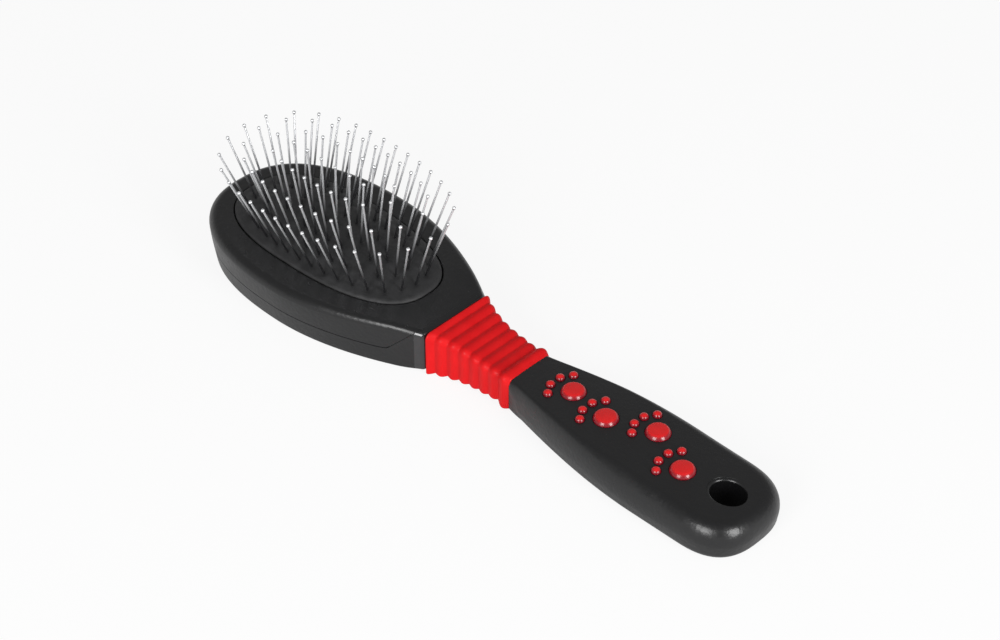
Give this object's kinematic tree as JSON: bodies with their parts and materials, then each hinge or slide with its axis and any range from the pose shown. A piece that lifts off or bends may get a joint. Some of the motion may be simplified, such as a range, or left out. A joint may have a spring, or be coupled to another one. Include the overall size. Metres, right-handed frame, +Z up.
{
  "type": "steel pin pet grooming brush",
  "caption": "Oval pin brush for pets: ball-tipped steel pins in a domed rubber cushion, black moulded body, ribbed red neck sleeve, red paw buttons and a hang hole.",
  "frame": {"origin": "centre of the bounding box at its bottom, on the surface that the brush lies on", "axes": "+X from the head's tip to the handle's end, +Z up along the pins, +Y across the brush"},
  "size_m": [0.2056, 0.0556, 0.0415],
  "materials": {
    "black_plastic": "fine satin moulding",
    "cushion_rubber": "matt natural rubber",
    "pin_steel": "drawn steel wire with polished ball tips",
    "red_rubber": "satin soft-touch elastomer",
    "red_gloss": "glossy soft buttons"
  },
  "bodies": {
    "brush_body": {"handle_body": "black_plastic", "head_frame": "black_plastic", "cushion_pad": "cushion_rubber", "neck_sleeve": "red_rubber", "paw_1_pad": "red_gloss", "paw_1_toe_1": "red_gloss", "paw_1_toe_2": "red_gloss", "paw_1_toe_3": "red_gloss", "paw_1_toe_4": "red_gloss", "paw_2_pad": "red_gloss", "paw_2_toe_1": "red_gloss", "paw_2_toe_2": "red_gloss", "paw_2_toe_3": "red_gloss", "paw_2_toe_4": "red_gloss", "paw_3_pad": "red_gloss", "paw_3_toe_1": "red_gloss", "paw_3_toe_2": "red_gloss", "paw_3_toe_3": "red_gloss", "paw_3_toe_4": "red_gloss", "paw_4_pad": "red_gloss", "paw_4_toe_1": "red_gloss", "paw_4_toe_2": "red_gloss", "paw_4_toe_3": "red_gloss", "paw_4_toe_4": "red_gloss"},
    "pin_field": {"pin_ring_outer": "pin_steel", "pin_ring_second": "pin_steel", "pin_ring_third": "pin_steel", "pin_row_centre": "pin_steel"}
  },
  "joints": [
    {"name": "cushion_press", "type": "slide", "parent": "brush_body", "child": "pin_field", "axis": [0, 0, -1], "range_m": [0, 0.0025], "stiffness_N_per_m": 1200, "deforming": ["cushion_pad"]}
  ]
}
